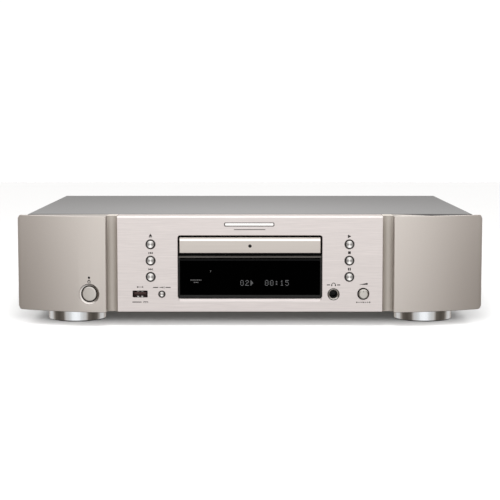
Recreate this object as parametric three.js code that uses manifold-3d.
// A full-width hi-fi compact disc player: a flat centre fascia between two swept side wings,
// a sheet-metal case on four round feet, a drawer loader with its pickup traverse, and the
// boards, transformer and sockets inside.
//
// Millimetres. +X is the right of the player as seen from the front, +Y its back, +Z up.
// The origin is on the floor, at the middle of the space that the player takes up.

import * as THREE from "three";
import { mergeVertices } from "three/addons/utils/BufferGeometryUtils.js";
import Module from "manifold-3d";

const wasm = await Module();
wasm.setup();

// ---------------------------------------------------------------- driving dimensions

const GAP = 0.3; // clearance between neighbours that touch

// Front
const HALF_WIDTH = 220;
const BASE_Z = 13.1; // underside of the fascia and the wings
const TOP_Z = 103.2;
const FASCIA_Y = -161.5;
const FASCIA_HALF = 124.3;
const FASCIA_WALL = 5;
const RETURN_WALL = 3;
const RETURN_Y = -137.8; // rear edge of the fascia, the moulding and the wings
const CHAMFER = 1.7;
const COVE_EDGE_Y = -158.5;
const COVE_DEEP_Y = -155.8;
const FRAME_FACE_Y = FASCIA_Y + FASCIA_WALL + GAP;
const FRAME_WALL = 3;

// Side wings: an arc in plan, nearly square to the fascia at its inner edge
const WING_INNER_X = 134.3;
const WING_RADIUS = 208;
const WING_CENTRE = [116.17, 39.7];
const WING_WALL = 3;
const WING_CORNER = 3;

// Window recess in the fascia, with the disc drawer above the display
const WINDOW = { half: 67.5, bottom: 25.7, top: 85.5, bevelBottom: 22.8, corner: 2.5 };
const BEZEL = { half: 66, bottom: 68.4, top: 83.2, front: -162, back: -157 };
const DISPLAY = { half: 67.1, bottom: 26, top: 65.7, front: -159.6, back: -156.5 };

// Controls on the fascia, by their centres
const ROUND_BUTTONS = [
  ["eject_button", -93, 76.7],
  ["skip_back_button", -93, 61.4],
  ["skip_forward_button", -93, 46.1],
  ["play_button", 93, 76.7],
  ["stop_button", 93, 61.4],
  ["pause_button", 93, 46.1],
];
const BUTTON = { hole: 4.65, cap: 3.25, neck: 2.2, front: -163.6 };
const SOURCE = { x: -82.6, z: 29.8, hole: 3.4, cap: 2.15, neck: 1.6, front: -163 };
const STEM_END_Y = -150.2;
const USB = { x: -103, z: 29.9, width: 13.2, height: 5.7 };
const PHONES = { x: 78.3, z: 29.7, hole: 5.9, ring: 5.6, bore: 3.4, front: -162.4 };
const LEVEL = { x: 106.2, z: 30.1, hole: 5.75, cap: 4.75, neck: 3, front: -166 };
const POWER = { x: -150.4, z: 30.4, bezel: 9.8, well: 7.3, cap: 6.95, stem: 3 };
const LED = { z: 45.7, radius: 0.95 };

// Case
const CASE_FRONT_Y = -137.5;
const CASE_HALF = 208; // chassis and rear panel
const COVER_HALF = 212;
const COVER_TOP_Z = 103.5;
const SHEET = 1.2;
const CHASSIS_Z = 13.3;
const CHASSIS_TOP_Z = 14.8;
const REAR_INNER_Y = 158;
const REAR_OUTER_Y = 159.5;
const FOOT = { x: 168, frontY: -107.5, rearY: 120, radius: 27.5, pad: 23, base: 0.4 };
const TERMINAL_END_Y = 167.5;
const TERMINAL_Z = 40;

// Drawer and loader
const DISC_Y = -85; // the disc's axis is at X 0
const TRAY = { half: 63.5, front: -157, back: 25, bottom: 73, floor: 75, top: 79.6 };
const RACK = { pitchX: 54, backX: 58, front: -140, back: 22, bottom: 69.2 };
const MODULE = 1; // gear teeth, as pitch diameter per tooth
const LOADING_GEAR = { x: 42, y: -125, teeth: 24, bottom: 64.3, top: 72.3 };
const PINION = { x: 24, teeth: 12, bottom: 64.3, top: 68.3 };
const PULLEY = { radius: 14, bottom: 59.8, top: 63.6 };
const MOTOR_PULLEY = { x: -20, radius: 3.5 };
const BELT = { z: 61.7, half: 0.7 };
const WALL_X = 70; // inside face of the loader's side walls
const LOADER = { wall: 3, front: -141, back: 48, bottom: 56, top: 86 };
const DECK = { bottom: 56.4, top: 59, back: -109.5 };

// Pickup traverse: it hinges at the back and drops at the front to let the drawer pass
const TRAVERSE = { half: 44, front: -103, back: 40, bottom: 60, top: 68, wall: 4 };
const HINGE = { y: 35, z: 62, radius: 2 };
const CAM_PIN = { x: 25, z: 62, radius: 1.5, drop: 13.5, shift: 13.8 };
const ROD_Z = 65.5;
const ROD_X = 22;
const SCREW_X = 31.5;
const SLED_Y = -60; // pickup at the innermost track

// ---------------------------------------------------------------- helpers

// Closed three.js geometry to a manifold solid that faces outwards.
function solid(geometry) {
  const bare = geometry.clone();
  bare.deleteAttribute("normal");
  bare.deleteAttribute("uv");
  const merged = mergeVertices(bare, 1e-4);
  const corner = merged.attributes.position.array;
  const faces = [];
  let volume = 0;
  for (let i = 0; i < merged.index.count; i += 3) {
    const [a, b, c] = [0, 1, 2].map((k) => merged.index.getX(i + k));
    if (a === b || b === c || c === a) continue;
    faces.push(a, b, c);
    const [p, q, r] = [a, b, c].map((k) => new THREE.Vector3().fromArray(corner, 3 * k));
    volume += p.dot(q.cross(r));
  }
  if (volume < 0) faces.reverse();
  const vertProperties = new Float32Array(corner);
  return new wasm.Manifold(new wasm.Mesh({ numProp: 3, vertProperties, triVerts: new Uint32Array(faces) }));
}

function geometryOf(shape) {
  const { vertProperties, triVerts } = shape.getMesh();
  const geometry = new THREE.BufferGeometry();
  geometry.setAttribute("position", new THREE.BufferAttribute(vertProperties, 3));
  geometry.setIndex(new THREE.BufferAttribute(triVerts, 1));
  geometry.computeVertexNormals();
  return geometry;
}

const join = (...pieces) => pieces.reduce((sum, piece) => sum.add(piece));
const cut = (base, ...tools) => tools.reduce((rest, tool) => rest.subtract(tool), base);

function box(x0, x1, y0, y1, z0, z1) {
  const block = new THREE.BoxGeometry(x1 - x0, y1 - y0, z1 - z0);
  return solid(block.translate((x0 + x1) / 2, (y0 + y1) / 2, (z0 + z1) / 2));
}

function rodX(radius, x0, x1, y, z, sides = 20) {
  const rod = new THREE.CylinderGeometry(radius, radius, x1 - x0, sides).rotateZ(Math.PI / 2);
  return solid(rod.translate((x0 + x1) / 2, y, z));
}

function rodY(radius, x, y0, y1, z, sides = 18) {
  const rod = new THREE.CylinderGeometry(radius, radius, y1 - y0, sides);
  return solid(rod.translate(x, (y0 + y1) / 2, z));
}

function rodZ(radius, x, y, z0, z1, sides = 24) {
  const rod = new THREE.CylinderGeometry(radius, radius, z1 - z0, sides).rotateX(Math.PI / 2);
  return solid(rod.translate(x, y, (z0 + z1) / 2));
}

function lathe(profile, sides) {
  const points = profile.map(([radius, height]) => new THREE.Vector2(radius, height));
  return new THREE.LatheGeometry(points, sides);
}

// Solids of revolution: points are [radius, height] about Z, or [radius, y] about Y.
const turnedZ = (profile, x, y, sides = 28) => solid(lathe(profile, sides).rotateX(Math.PI / 2).translate(x, y, 0));
const turnedY = (profile, x, z, sides = 24) => solid(lathe(profile, sides).translate(x, 0, z));

const outline = (points) => new THREE.Shape(points.map(([x, y]) => new THREE.Vector2(x, y)));

function roundedRect(x0, x1, y0, y1, r) {
  const shape = new THREE.Shape();
  shape.absarc(x1 - r, y1 - r, r, 0, Math.PI / 2);
  shape.absarc(x0 + r, y1 - r, r, Math.PI / 2, Math.PI);
  shape.absarc(x0 + r, y0 + r, r, Math.PI, 1.5 * Math.PI);
  shape.absarc(x1 - r, y0 + r, r, 1.5 * Math.PI, 2 * Math.PI);
  return shape;
}

const extruded = (shape, depth, curveSegments) =>
  new THREE.ExtrudeGeometry(shape, { depth, curveSegments, bevelEnabled: false });

// Outlines pushed along Z (drawn in X, Y), along Y (drawn in X, Z) and along X (drawn in Y, Z).
const alongZ = (shape, z0, z1, steps = 6) => solid(extruded(shape, z1 - z0, steps).translate(0, 0, z0));
const alongY = (shape, y0, y1, steps = 6) =>
  solid(extruded(shape, y1 - y0, steps).rotateX(Math.PI / 2).translate(0, y1, 0));

function alongX(shape, x0, x1, steps = 6) {
  const turn = new THREE.Matrix4().makeBasis(
    new THREE.Vector3(0, 1, 0),
    new THREE.Vector3(0, 0, 1),
    new THREE.Vector3(1, 0, 0),
  );
  return solid(extruded(shape, x1 - x0, steps).applyMatrix4(turn).translate(x0, 0, 0));
}

const finish = (color, roughness, metalness) => ({ color, roughness, metalness });
const FINISH = {
  brushed: finish(0xdcd6d2, 0.38, 0.85),
  silver: finish(0xc8c3be, 0.42, 0.75),
  paint: finish(0x9a9996, 0.5, 0.55),
  zinc: finish(0xb4b6b8, 0.4, 0.9),
  chrome: finish(0xe4e4e4, 0.12, 1),
  steel: finish(0xc2c5c8, 0.25, 1),
  black: finish(0x17171a, 0.5, 0),
  grey: finish(0x55575a, 0.55, 0),
  white: finish(0xe6e3da, 0.5, 0),
  rubber: finish(0x121212, 0.85, 0),
  smoked: finish(0x070709, 0.08, 0),
  board: finish(0x1d5a36, 0.5, 0),
  copper: finish(0xa8672c, 0.35, 0.8),
  iron: finish(0x3c3e42, 0.5, 0.8),
  glass: finish(0x2b3a38, 0.1, 0),
  red: finish(0x8a1010, 0.25, 0),
  gold: finish(0xd2ab52, 0.25, 1),
};

const player = new THREE.Group();

function add(name, shape, look, parent = player) {
  const geometry = shape instanceof THREE.BufferGeometry ? shape : geometryOf(shape);
  const mesh = new THREE.Mesh(geometry, new THREE.MeshStandardMaterial(look));
  mesh.name = name;
  parent.add(mesh);
}

// ---------------------------------------------------------------- front

function frontPanel() {
  const section = outline([
    [FASCIA_Y, BASE_Z],
    [FASCIA_Y, TOP_Z - CHAMFER],
    [FASCIA_Y + CHAMFER, TOP_Z],
    [RETURN_Y, TOP_Z],
    [RETURN_Y, TOP_Z - RETURN_WALL],
    [FASCIA_Y + FASCIA_WALL, TOP_Z - RETURN_WALL],
    [FASCIA_Y + FASCIA_WALL, BASE_Z + RETURN_WALL],
    [RETURN_Y, BASE_Z + RETURN_WALL],
    [RETURN_Y, BASE_Z],
  ]);
  const slope = (WINDOW.bottom - WINDOW.bevelBottom) / FASCIA_WALL;
  const bevel = outline([
    [FASCIA_Y - 1, WINDOW.bevelBottom - slope],
    [FASCIA_Y + FASCIA_WALL + 1, WINDOW.bottom + slope],
    [FASCIA_Y + FASCIA_WALL + 1, WINDOW.bottom + 4],
    [FASCIA_Y - 1, WINDOW.bottom + 4],
  ]);
  const [front, back] = [FASCIA_Y - 2, FASCIA_Y + FASCIA_WALL + 2];
  const window = roundedRect(-WINDOW.half, WINDOW.half, WINDOW.bottom + 1, WINDOW.top, WINDOW.corner);
  return cut(
    alongX(section, -FASCIA_HALF, FASCIA_HALF),
    alongY(window, front, back),
    alongX(bevel, -WINDOW.half, WINDOW.half),
    ...ROUND_BUTTONS.map(([, x, z]) => rodY(BUTTON.hole, x, front, back, z)),
    rodY(SOURCE.hole, SOURCE.x, front, back, SOURCE.z),
    rodY(PHONES.hole, PHONES.x, front, back, PHONES.z, 32),
    rodY(LEVEL.hole, LEVEL.x, front, back, LEVEL.z, 32),
    usbSlot(0.5, front, back),
  );
}

function usbSlot(margin, front, back) {
  const [w, h] = [USB.width / 2 + margin, USB.height / 2 + margin];
  return alongY(roundedRect(USB.x - w, USB.x + w, USB.z - h, USB.z + h, 0.8), front, back, 3);
}

// The moulding behind the fascia, with a concave strip showing at each side of it.
function frontFrame() {
  const [x0, x1] = [FASCIA_HALF + GAP, WING_INNER_X - GAP];
  const cove = new THREE.Shape();
  const half = (x1 - x0) / 2;
  const depth = COVE_DEEP_Y - COVE_EDGE_Y;
  const radius = (half * half + depth * depth) / (2 * depth);
  const spread = Math.asin(half / radius);
  cove.moveTo(x1, RETURN_Y);
  cove.lineTo(x0, RETURN_Y);
  cove.lineTo(x0, COVE_EDGE_Y);
  cove.absarc(x0 + half, COVE_DEEP_Y - radius, radius, Math.PI / 2 + spread, Math.PI / 2 - spread, true);
  const strip = alongZ(cove, BASE_Z, TOP_Z, 10);
  const [front, back] = [FRAME_FACE_Y, FRAME_FACE_Y + FRAME_WALL];
  const wall = box(-FASCIA_HALF - 1, FASCIA_HALF + 1, front, back, BASE_Z + 3.3, TOP_Z - 3.3);
  return cut(
    join(wall, strip, strip.mirror([1, 0, 0])),
    box(-66.7, 66.7, front - 1, back + 1, 67.6, 84),
    box(-62, 54, front - 1, back + 1, 31, 63),
    ...ROUND_BUTTONS.map(([, x, z]) => rodY(BUTTON.cap + 0.5, x, front - 1, back + 1, z)),
    rodY(SOURCE.cap + 0.5, SOURCE.x, front - 1, back + 1, SOURCE.z),
    rodY(PHONES.ring + 0.4, PHONES.x, front - 1, back + 1, PHONES.z),
    rodY(LEVEL.cap + 0.5, LEVEL.x, front - 1, back + 1, LEVEL.z),
    usbSlot(0.5, front - 1, back + 1),
  );
}

function wingPlan(inset, rear) {
  const radius = WING_RADIUS - inset;
  const [cx, cy] = WING_CENTRE;
  const [x0, x1] = [WING_INNER_X + inset, HALF_WIDTH - inset];
  const plan = new THREE.Shape();
  plan.moveTo(x1, rear);
  plan.lineTo(x0, rear);
  plan.absarc(cx, cy, radius, -Math.acos((x0 - cx) / radius), -Math.acos((x1 - cx) / radius));
  return plan;
}

function wing() {
  const shell = alongZ(wingPlan(0, RETURN_Y), BASE_Z, TOP_Z, 14);
  const hollow = alongZ(wingPlan(WING_WALL, RETURN_Y + 1), BASE_Z + WING_WALL, TOP_Z - WING_WALL, 14);
  const corners = roundedRect(WING_INNER_X - 20, HALF_WIDTH, BASE_Z, TOP_Z, WING_CORNER);
  return cut(shell, hollow).intersect(alongY(corners, -200, -100));
}

// The power switch sits square to the wing's curve: its own frame has -Y pointing out of the wing.
const powerAngle = Math.asin((POWER.x + WING_CENTRE[0]) / WING_RADIUS);
const powerY = WING_CENTRE[1] - WING_RADIUS * Math.cos(powerAngle);
const powerFrame = new THREE.Group();
powerFrame.position.set(POWER.x, powerY, POWER.z);
powerFrame.rotation.z = powerAngle;
powerFrame.updateMatrixWorld();
player.add(powerFrame);

function leftWing() {
  const holes = join(
    rodY(POWER.bezel + GAP, 0, -8, 16, 0, 36),
    rodY(LED.radius + GAP, 0, -8, 10, LED.z - POWER.z, 16),
  ).transform(powerFrame.matrix.elements);
  return cut(wing().mirror([1, 0, 0]), holes);
}

add("front_panel", frontPanel(), FINISH.brushed);
add("front_frame", frontFrame(), FINISH.silver);
add("side_wing_left", leftWing(), FINISH.silver);
add("side_wing_right", wing(), FINISH.silver);

add(
  "display_window",
  box(-DISPLAY.half, DISPLAY.half, DISPLAY.front, DISPLAY.back, DISPLAY.bottom, DISPLAY.top),
  FINISH.smoked,
);

const switchDepth = 14;
const bezelProfile = [
  [0, switchDepth - 2],
  [POWER.well, switchDepth - 2],
  [POWER.well, 1.6],
  [7.9, 1.6],
  [POWER.bezel, 0.1],
  [POWER.bezel, switchDepth],
  [0, switchDepth],
];
add("power_button_bezel", turnedY(bezelProfile, 0, 0, 28), FINISH.chrome, powerFrame);

const powerProfile = [
  [0, 0.3],
  [POWER.cap - 0.7, 0.3],
  [POWER.cap, 1],
  [POWER.cap, 6],
  [POWER.stem, 6],
  [POWER.stem, 9.6],
  [0, 9.6],
];
add("power_button", turnedY(powerProfile, 0, 0, 24), FINISH.brushed, powerFrame);
add("standby_led", rodY(LED.radius, 0, -0.3, 6, LED.z - POWER.z, 16), FINISH.red, powerFrame);

function buttonProfile(cap, neck, front) {
  return [
    [0, front],
    [cap - 0.5, front],
    [cap, front + 0.5],
    [cap, FASCIA_Y + FASCIA_WALL],
    [neck, FASCIA_Y + FASCIA_WALL],
    [neck, STEM_END_Y],
    [0, STEM_END_Y],
  ];
}

for (const [name, x, z] of ROUND_BUTTONS) {
  add(name, turnedY(buttonProfile(BUTTON.cap, BUTTON.neck, BUTTON.front), x, z, 16), FINISH.brushed);
}
const sourceProfile = buttonProfile(SOURCE.cap, SOURCE.neck, SOURCE.front);
add("source_button", turnedY(sourceProfile, SOURCE.x, SOURCE.z, 16), FINISH.brushed);

const knobProfile = [
  [0, LEVEL.front],
  [LEVEL.cap - 0.6, LEVEL.front],
  [LEVEL.cap, LEVEL.front + 0.6],
  [LEVEL.cap, FASCIA_Y + 3],
  [LEVEL.neck, FASCIA_Y + 3],
  [LEVEL.neck, STEM_END_Y],
  [0, STEM_END_Y],
];
add("level_knob", turnedY(knobProfile, LEVEL.x, LEVEL.z), FINISH.brushed);

// ---------------------------------------------------------------- sockets and control board

const BOARD = { front: -144.5, back: -142.9 };

function usbSocket() {
  const [w, h] = [USB.width / 2, USB.height / 2];
  const [front, back] = [FASCIA_Y + 0.6, BOARD.front - GAP];
  const wall = 0.5;
  const shell = box(USB.x - w, USB.x + w, front, back, USB.z - h, USB.z + h);
  const mouth = box(USB.x - w + wall, USB.x + w - wall, front - 1, -149, USB.z - h + wall, USB.z + h - wall);
  const tongue = box(USB.x - 5.5, USB.x + 5.5, front + 2.5, -148, USB.z + 0.2, USB.z + 2);
  return join(cut(shell, mouth), tongue);
}
add("usb_socket", usbSocket(), FINISH.steel);

const jackProfile = [
  [PHONES.bore, PHONES.front],
  [PHONES.ring - 0.5, PHONES.front],
  [PHONES.ring, PHONES.front + 0.5],
  [PHONES.ring, BOARD.front - GAP],
  [0, BOARD.front - GAP],
  [0, BOARD.front - 1.8],
  [PHONES.bore, BOARD.front - 1.8],
  [PHONES.bore, PHONES.front],
];
add("phones_jack", turnedY(jackProfile, PHONES.x, PHONES.z), FINISH.chrome);

// A U-shaped board: its two ears reach up beside the drawer, behind the top buttons.
function controlBoard() {
  const plate = outline([
    [-122, 18],
    [122, 18],
    [122, 88],
    [76, 88],
    [76, 66],
    [-76, 66],
    [-76, 88],
    [-122, 88],
  ]);
  const keys = [...ROUND_BUTTONS.map(([, x, z]) => [x, z]), [SOURCE.x, SOURCE.z]];
  const switches = keys.map(([x, z]) => join(
    box(x - 3, x + 3, BOARD.front - 3.2, BOARD.front + 0.2, z - 3, z + 3),
    rodY(1.4, x, BOARD.front - 4.2, BOARD.front - 3, z, 12),
  ));
  const pot = box(LEVEL.x - 6, LEVEL.x + 6, BOARD.front - 5, BOARD.front + 0.2, LEVEL.z - 6, LEVEL.z + 6);
  return join(alongY(plate, BOARD.front, BOARD.back), pot, ...switches);
}
add("control_board", controlBoard(), FINISH.board);
add("display_tube", box(-60, 52, -152.6, BOARD.front - GAP, 32.5, 61.5), FINISH.glass);

// ---------------------------------------------------------------- case

function topCover() {
  const [front, back] = [CASE_FRONT_Y, REAR_OUTER_Y + GAP + SHEET];
  const skirt = 15.1;
  return join(
    box(-COVER_HALF, COVER_HALF, front, back, COVER_TOP_Z - SHEET, COVER_TOP_Z),
    box(-COVER_HALF, -COVER_HALF + SHEET, front, back, skirt, COVER_TOP_Z),
    box(COVER_HALF - SHEET, COVER_HALF, front, back, skirt, COVER_TOP_Z),
    box(-COVER_HALF, COVER_HALF, back - SHEET, back, COVER_TOP_Z - 8, COVER_TOP_Z),
  );
}
add("top_cover", topCover(), FINISH.paint);

function bottomChassis() {
  const back = REAR_INNER_Y - GAP;
  return join(
    box(-CASE_HALF, CASE_HALF, CASE_FRONT_Y, back, CHASSIS_Z, CHASSIS_TOP_Z),
    box(-CASE_HALF, -CASE_HALF + SHEET, CASE_FRONT_Y, back, CHASSIS_Z, 28),
    box(CASE_HALF - SHEET, CASE_HALF, CASE_FRONT_Y, back, CHASSIS_Z, 28),
    box(-118, 118, CASE_FRONT_Y, CASE_FRONT_Y + SHEET, CHASSIS_Z, 40),
  );
}
add("bottom_chassis", bottomChassis(), FINISH.zinc);

// Rear sockets, left to right as seen from the front
const INLET = { x: -165, z: 56, flange: [15, 11], body: [13.5, 9.8], mouth: [12.1, 8.2] };
const LINE_X = [92, 108];
const COAX_X = 132;
const OPTICAL = { x: 154, half: 6.8, mouth: 4.4 };
const REMOTE_X = [177, 191];
const BARREL = { radius: 4.1, bore: 1.7 };

function rearPanel() {
  const [front, back] = [REAR_INNER_Y - 1, REAR_OUTER_Y + 1];
  const [inletX, inletZ] = INLET.body.map((half) => half + 0.5);
  const optical = OPTICAL.half + 0.4;
  return cut(
    box(-CASE_HALF, CASE_HALF, REAR_INNER_Y, REAR_OUTER_Y, CHASSIS_Z, COVER_TOP_Z - SHEET - GAP),
    box(INLET.x - inletX, INLET.x + inletX, front, back, INLET.z - inletZ, INLET.z + inletZ),
    ...[...LINE_X, COAX_X].map((x) => rodY(BARREL.radius + 0.9, x, front, back, TERMINAL_Z)),
    ...REMOTE_X.map((x) => rodY(BARREL.radius + 0.4, x, front, back, TERMINAL_Z)),
    box(OPTICAL.x - optical, OPTICAL.x + optical, front, back, TERMINAL_Z - optical, TERMINAL_Z + optical),
  );
}
add("rear_panel", rearPanel(), FINISH.paint);

function mainsInlet() {
  const block = ([w, h], y0, y1) => box(INLET.x - w, INLET.x + w, y0, y1, INLET.z - h, INLET.z + h);
  const flangeBack = REAR_OUTER_Y + 2.5;
  const blade = (x) => box(x - 1, x + 1, 142, flangeBack - 3, INLET.z - 2, INLET.z + 2);
  const shell = join(block(INLET.flange, REAR_OUTER_Y + GAP, flangeBack), block(INLET.body, 138, flangeBack));
  return join(cut(shell, block(INLET.mouth, 144, flangeBack + 1)), blade(INLET.x - 7), blade(INLET.x + 7));
}
add("mains_inlet", mainsInlet(), FINISH.black);

const MAIN_BOARD_TOP = 25.6;

// A block on the main board with a barrel through the rear panel for each connector.
function jackBlock(centres, barrelEnd) {
  const [x0, x1] = [Math.min(...centres) - 7, Math.max(...centres) + 7];
  const block = box(x0, x1, 142, REAR_INNER_Y - GAP, MAIN_BOARD_TOP + GAP, 49);
  const barrels = centres.map((x) => rodY(BARREL.radius, x, REAR_INNER_Y - 1, barrelEnd, TERMINAL_Z));
  const bores = centres.map((x) => rodY(BARREL.bore, x, 150, barrelEnd + 1, TERMINAL_Z, 16));
  return cut(join(block, ...barrels), ...bores);
}
add("line_out_jacks", jackBlock(LINE_X, TERMINAL_END_Y), FINISH.gold);
add("coax_out_jack", jackBlock([COAX_X], TERMINAL_END_Y), FINISH.gold);
add("remote_jacks", jackBlock(REMOTE_X, REAR_OUTER_Y + 2.5), FINISH.black);

function opticalSocket() {
  const { x, half, mouth } = OPTICAL;
  const back = REAR_OUTER_Y + 2.5;
  const upper = TERMINAL_Z + half;
  return cut(
    join(
      box(x - half, x + half, 144, back, TERMINAL_Z - half, upper),
      box(x - half, x + half, 144, REAR_INNER_Y - GAP, MAIN_BOARD_TOP + GAP, upper),
    ),
    box(x - mouth, x + mouth, back - 7, back + 1, TERMINAL_Z - mouth, TERMINAL_Z + mouth),
  );
}
add("optical_out_socket", opticalSocket(), FINISH.black);

const footProfile = [
  [0, 4],
  [FOOT.pad + GAP, 4],
  [FOOT.pad + GAP, FOOT.base],
  [FOOT.radius - 0.5, FOOT.base],
  [FOOT.radius, FOOT.base + 0.5],
  [FOOT.radius, CHASSIS_Z - GAP],
  [0, CHASSIS_Z - GAP],
];
const padProfile = [
  [0, 0],
  [FOOT.pad - 0.6, 0],
  [FOOT.pad, 0.6],
  [FOOT.pad, 4 - GAP],
  [0, 4 - GAP],
];
for (const [row, y] of [["front", FOOT.frontY], ["rear", FOOT.rearY]]) {
  for (const [side, x] of [["left", -FOOT.x], ["right", FOOT.x]]) {
    add(`foot_${row}_${side}`, turnedZ(footProfile, x, y, 28), FINISH.chrome);
    add(`foot_pad_${row}_${side}`, turnedZ(padProfile, x, y, 24), FINISH.rubber);
  }
}

// ---------------------------------------------------------------- power and main boards

function boardOnPosts(x0, x1, y0, y1) {
  const posts = [];
  for (const x of [x0 + 5, x1 - 5]) {
    for (const y of [y0 + 5, y1 - 5]) posts.push(rodZ(3, x, y, CHASSIS_TOP_Z + GAP, 24.2, 8));
  }
  return join(box(x0, x1, y0, y1, 24, MAIN_BOARD_TOP), ...posts);
}
add("power_board", boardOnPosts(-200, -92, -90, 40), FINISH.board);
add("main_board", boardOnPosts(84, 202, -60, 156), FINISH.board);

// Mains transformer: a laminated core with two windows, and the winding round its middle leg.
const CORE = { x: -150, y: 95, halfX: 33, halfY: 16.5, height: 55, leg: 11 };
function transformerCore() {
  const { x, y, halfX, halfY, height, leg } = CORE;
  const base = CHASSIS_TOP_Z + GAP;
  const windowCut = (x0) => box(x0, x0 + leg, y - halfY - 1, y + halfY + 1, base + leg, base + height - leg);
  return cut(
    box(x - halfX, x + halfX, y - halfY, y + halfY, base, base + height),
    windowCut(x - 2 * leg),
    windowCut(x + leg),
  );
}
function transformerCoil() {
  const { x, y, halfY, height, leg } = CORE;
  const [z0, z1] = [CHASSIS_TOP_Z + GAP + leg + 0.5, CHASSIS_TOP_Z + GAP + height - leg - 0.5];
  return cut(
    alongZ(roundedRect(x - 2 * leg + 0.5, x + 2 * leg - 0.5, y - halfY - 10, y + halfY + 10, 3), z0, z1, 4),
    box(x - leg - 0.5, x + leg + 0.5, y - halfY - 0.5, y + halfY + 0.5, z0 - 1, z1 + 1),
  );
}
add("transformer_core", transformerCore(), FINISH.iron);
add("transformer_coil", transformerCoil(), FINISH.copper);

// ---------------------------------------------------------------- disc drawer

// Rack teeth under the drawer, one gap facing the loading gear's tooth when it is shut.
function rackTeeth() {
  const pitch = Math.PI * MODULE;
  const slope = Math.tan(Math.PI / 9);
  const [tip, root] = [0.9 * MODULE, 1.25 * MODULE];
  const half = 0.21 * pitch;
  const points = [[RACK.backX, RACK.front], [RACK.pitchX + root, RACK.front]];
  const first = Math.ceil((RACK.front - LOADING_GEAR.y) / pitch);
  for (let k = first; LOADING_GEAR.y + (k + 1) * pitch < RACK.back; k += 1) {
    const middle = LOADING_GEAR.y + (k + 0.5) * pitch;
    points.push(
      [RACK.pitchX + root, middle - half - root * slope],
      [RACK.pitchX - tip, middle - half + tip * slope],
      [RACK.pitchX - tip, middle + half - tip * slope],
      [RACK.pitchX + root, middle + half + root * slope],
    );
  }
  points.push([RACK.pitchX + root, RACK.back], [RACK.backX, RACK.back]);
  return alongZ(outline(points), RACK.bottom, TRAY.bottom + 0.5);
}

function discTray() {
  const { half, front, back, bottom, floor, top } = TRAY;
  const slotEnd = 10;
  return join(
    cut(
      box(-half, half, front, back, bottom, top),
      rodZ(61, 0, DISC_Y, floor, top + 1, 56),
      box(-44, 44, DISC_Y, back - 6, floor, top + 1),
      rodZ(20, 0, DISC_Y, bottom - 1, floor + 1, 32),
      box(-17, 17, DISC_Y, slotEnd, bottom - 1, floor + 1),
      box(-40, 40, DISC_Y - 75, DISC_Y - 50, floor + 1.2, top + 1),
    ),
    rackTeeth(),
  );
}
add("disc_tray", discTray(), FINISH.black);

function trayBezel() {
  const { half, bottom, top, front, back } = BEZEL;
  const round = 1.5;
  const section = new THREE.Shape();
  section.moveTo(back, bottom);
  section.lineTo(back, top);
  section.absarc(front + round, top - round, round, Math.PI / 2, Math.PI);
  section.absarc(front + round, bottom + round, round, Math.PI, 1.5 * Math.PI);
  return cut(
    alongX(section, -half, half, 5),
    box(-half + 2, half - 2, back - 2.5, back + 1, bottom + 2, top - 2),
    box(-TRAY.half - 1, TRAY.half + 1, back - GAP, back + 1, TRAY.bottom - 1, TRAY.top + 1),
  );
}
add("tray_bezel", trayBezel(), FINISH.brushed);

// ---------------------------------------------------------------- gears and belt

// Involute tooth outline, 20 degree pressure angle, slightly thin teeth for running clearance.
function gearOutline(teeth, turn, bore) {
  const pressure = Math.PI / 9;
  const pitchRadius = (MODULE * teeth) / 2;
  const baseRadius = pitchRadius * Math.cos(pressure);
  const [tip, root] = [pitchRadius + 0.9 * MODULE, pitchRadius - 1.2 * MODULE];
  const involute = (radius) => {
    const angle = Math.acos(Math.min(1, baseRadius / radius));
    return Math.tan(angle) - angle;
  };
  const halfTooth = (0.84 * Math.PI) / 2 / teeth;
  const flankStart = Math.max(root + 0.2, baseRadius);
  const points = [];
  for (let tooth = 0; tooth < teeth; tooth += 1) {
    const middle = turn + (2 * Math.PI * tooth) / teeth;
    const flank = [0, 0.5, 1].map((share) => {
      const radius = flankStart + share * (tip - flankStart);
      return [radius, halfTooth + involute(pitchRadius) - involute(radius)];
    });
    const side = [[root, flank[0][1] + 0.02], ...flank];
    const rising = side.map(([radius, away]) => [radius, middle - away]);
    const falling = side.map(([radius, away]) => [radius, middle + away]).reverse();
    points.push(...rising, ...falling);
  }
  const shape = outline(points.map(([r, a]) => [r * Math.cos(a), r * Math.sin(a)]));
  shape.holes.push(new THREE.Path().absarc(0, 0, bore, 0, 2 * Math.PI, true));
  return shape;
}

const loadingGear = alongZ(gearOutline(LOADING_GEAR.teeth, 0, 2.3), LOADING_GEAR.bottom, LOADING_GEAR.top, 6);
add("loading_gear", loadingGear.translate([LOADING_GEAR.x, LOADING_GEAR.y, 0]), FINISH.white);

function pulleyGear() {
  const { radius, bottom, top } = PULLEY;
  const wheel = turnedZ(
    [
      [2.2, bottom],
      [radius + 1.2, bottom],
      [radius, bottom + 1],
      [radius, top - 1],
      [radius + 1.2, top],
      [2.2, top],
      [2.2, bottom],
    ],
    0, 0, 28,
  );
  const halfTooth = Math.PI / PINION.teeth;
  const pinion = alongZ(gearOutline(PINION.teeth, halfTooth, 2.2), top - 0.2, PINION.top, 6);
  return join(wheel, pinion).translate([PINION.x, LOADING_GEAR.y, 0]);
}
add("pulley_gear", pulleyGear(), FINISH.white);

const motorPulleyProfile = [
  [0, PULLEY.bottom],
  [MOTOR_PULLEY.radius + 1, PULLEY.bottom],
  [MOTOR_PULLEY.radius, PULLEY.bottom + 1],
  [MOTOR_PULLEY.radius, PULLEY.top - 1],
  [MOTOR_PULLEY.radius + 1, PULLEY.top],
  [0, PULLEY.top],
];
add("motor_pulley", turnedZ(motorPulleyProfile, MOTOR_PULLEY.x, LOADING_GEAR.y, 20), FINISH.white);

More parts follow.
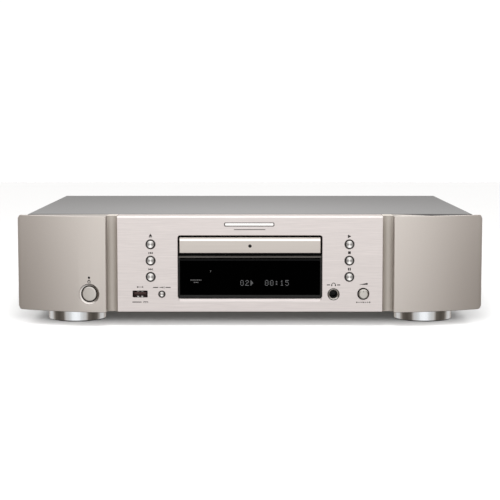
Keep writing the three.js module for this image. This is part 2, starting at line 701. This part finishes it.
// Belt: the outer tangent line of the two pulleys, with a clearance to each groove.
function beltLoop(grow) {
  const big = PULLEY.radius + GAP + grow;
  const small = MOTOR_PULLEY.radius + GAP + grow;
  const lean = Math.acos((big - small) / (PINION.x - MOTOR_PULLEY.x));
  const loop = new THREE.Shape();
  loop.absarc(PINION.x, LOADING_GEAR.y, big, -Math.PI + lean, Math.PI - lean);
  loop.absarc(MOTOR_PULLEY.x, LOADING_GEAR.y, small, Math.PI - lean, Math.PI + lean);
  return loop;
}
add(
  "drive_belt",
  cut(
    alongZ(beltLoop(2 * BELT.half), BELT.z - BELT.half, BELT.z + BELT.half, 10),
    alongZ(beltLoop(0), BELT.z - 1, BELT.z + 1, 10),
  ),
  FINISH.rubber,
);

const loadingMotorProfile = [
  [0, 39.5],
  [10.5, 39.5],
  [10.5, DECK.bottom - GAP],
  [2.5, DECK.bottom - GAP],
  [2.5, DECK.top - 0.2],
  [1, DECK.top - 0.2],
  [1, PULLEY.bottom - 0.2],
  [0, PULLEY.bottom - 0.2],
];
add("loading_motor", turnedZ(loadingMotorProfile, MOTOR_PULLEY.x, LOADING_GEAR.y, 28), FINISH.steel);

// ---------------------------------------------------------------- loader frame and clamp

function loaderFrame() {
  const { wall, front, back, bottom, top } = LOADER;
  const [inner, outer] = [WALL_X, WALL_X + wall];
  const half = join(
    box(inner, outer, front, back, bottom, top),
    box(TRAY.half - 3, inner + 1, front, back, TRAY.bottom - 3, TRAY.bottom - GAP),
    ...[-134, -60, -10].map((y) => box(TRAY.half - 1.5, inner + 1, y, y + 10, TRAY.top + 0.5, TRAY.top + 2.3)),
    ...[-132, 38].map((y) => box(inner, inner + 7, y, y + 8, CHASSIS_TOP_Z + GAP, bottom + 4)),
    box(46.5, 49.5, 24, back, 52, 67),
  );
  const hingeHole = rodX(HINGE.radius + 0.5, -60, 60, HINGE.y, HINGE.z);
  return cut(
    join(
      half,
      half.mirror([1, 0, 0]),
      box(-outer, outer, front, DECK.back, DECK.bottom, DECK.top),
      box(-outer, outer, DECK.back - 1.5, DECK.back, 44, DECK.top),
      box(-outer, outer, back - wall, back, bottom, 71),
      rodZ(1.9, LOADING_GEAR.x, LOADING_GEAR.y, DECK.top - 1, 71.5, 16),
      rodZ(1.8, PINION.x, LOADING_GEAR.y, DECK.top - 1, 67, 16),
    ),
    hingeHole,
    rodZ(2.9, MOTOR_PULLEY.x, LOADING_GEAR.y, DECK.bottom - 1, DECK.top + 1, 20),
  );
}
add("loader_frame", loaderFrame(), FINISH.black);

const BRIDGE = { bottom: 86.3, top: 87.8, half: 15, hole: 9.6 };
function clampBridge() {
  const { bottom, top, half, hole } = BRIDGE;
  const span = WALL_X + LOADER.wall;
  return cut(
    join(
      box(-span, span, DISC_Y - half, DISC_Y + half, bottom, top),
      box(-span + 6, span - 6, DISC_Y - half, DISC_Y - half + SHEET, bottom, top + 4),
      box(-span + 6, span - 6, DISC_Y + half - SHEET, DISC_Y + half, bottom, top + 4),
    ),
    rodZ(hole, 0, DISC_Y, bottom - 1, top + 1, 32),
  );
}
add("clamp_bridge", clampBridge(), FINISH.zinc);

const puckProfile = [
  [0, 80.4],
  [14, 80.4],
  [15, 81],
  [15, 84.6],
  [8.4, 84.6],
  [8.4, 88.4],
  [12, 88.4],
  [12, 90],
  [0, 90],
];
add("clamp_puck", turnedZ(puckProfile, 0, DISC_Y, 24), FINISH.black);

// Sliding cam plate: its two sloping slots carry the traverse's front pins up and down.
function camSlider() {
  const { x, z, radius, drop, shift } = CAM_PIN;
  const [front, back] = [DECK.back + 1.8, TRAVERSE.front - 1.7];
  const slot = (pinX) => {
    const length = Math.hypot(drop, shift);
    const width = radius + 0.8;
    const track = new THREE.Shape();
    track.absarc(0, 0, width, -Math.PI / 2, Math.PI / 2);
    track.absarc(-length, 0, width, Math.PI / 2, 1.5 * Math.PI);
    const geometry = extruded(track, back - front + 2, 6).rotateZ(Math.atan2(drop, shift));
    return solid(geometry.rotateX(Math.PI / 2).translate(pinX, back + 1, z));
  };
  return cut(box(-56, 46, front, back, 43, 66.5), slot(-x), slot(x));
}
add("cam_slider", camSlider(), FINISH.grey);

// ---------------------------------------------------------------- pickup traverse

function traverse() {
  const { half, front, back, bottom, top, wall } = TRAVERSE;
  const seat = -73.2; // front end of the sled's window
  return cut(
    join(
      box(-half, half, front, back, bottom, top),
      rodX(HINGE.radius, -52, 52, HINGE.y, HINGE.z),
      ...[-CAM_PIN.x, CAM_PIN.x].map((x) => rodY(CAM_PIN.radius, x, front - 4.2, front + 1, CAM_PIN.z, 16)),
    ),
    box(-half + wall + 2, half - wall - 2, seat, back - 5, bottom - 1, top + 1),
    box(-half + wall, half - wall, front + wall, seat - 2.8, bottom - 1, top - 2),
    rodZ(5, 0, DISC_Y, top - 3, top + 1, 20),
  );
}
add("traverse", traverse(), FINISH.grey);

const spindleMotorProfile = [
  [0, 53.5],
  [8.6, 53.5],
  [8.6, TRAVERSE.top - 2 - GAP],
  [1.6, TRAVERSE.top - 2 - GAP],
  [1.6, 62],
  [0, 62],
];
add("spindle_motor", turnedZ(spindleMotorProfile, 0, DISC_Y, 28), FINISH.steel);

const turntableProfile = [
  [0, 62.4],
  [1.1, 62.4],
  [1.1, 70.4],
  [3.8, 70.8],
  [3.8, 73.3],
  [15, 73.8],
  [15, 76],
  [7.4, 76],
  [6, 77.8],
  [0, 77.8],
];
add("turntable", turnedZ(turntableProfile, 0, DISC_Y, 28), FINISH.black);

for (const [side, x] of [["left", -ROD_X], ["right", ROD_X]]) {
  add(`guide_rod_${side}`, rodY(1.5, x, -72.8, 34.6, ROD_Z, 16), FINISH.steel);
}

const screwProfile = [[0, -72.6], [1.5, -72.6], [1.5, 18], [0.8, 18], [0.8, 21.6], [0, 21.6]];
add("lead_screw", turnedY(screwProfile, SCREW_X, ROD_Z, 16), FINISH.steel);

const sledMotorProfile = [
  [1.2, 20],
  [5.4, 20],
  [5.4, 34.6],
  [0, 34.6],
  [0, 22],
  [1.2, 22],
  [1.2, 20],
];
add("sled_motor", turnedY(sledMotorProfile, SCREW_X, ROD_Z, 24), FINISH.steel);

function pickupSled() {
  const [front, back] = [SLED_Y - 12, SLED_Y + 12];
  return cut(
    join(
      box(-26, 26, front, back, 62, 70.3),
      box(25, 35.5, SLED_Y - 5, SLED_Y + 5, 62, 69),
    ),
    ...[-ROD_X, ROD_X].map((x) => rodY(2, x, front - 1, back + 1, ROD_Z, 16)),
    rodY(2.1, SCREW_X, front - 1, back + 1, ROD_Z, 16),
  );
}
add("pickup_sled", pickupSled(), FINISH.zinc);

function pickupLens() {
  const holder = box(-8, 8, SLED_Y - 5, SLED_Y + 6, 70.3 + GAP, 72.4);
  return join(holder, turnedZ([[0, 72], [3.6, 72], [3.6, 73.2], [2.4, 73.7], [0, 73.7]], 0, SLED_Y, 20));
}
add("pickup_lens", pickupLens(), FINISH.glass);

export default player;
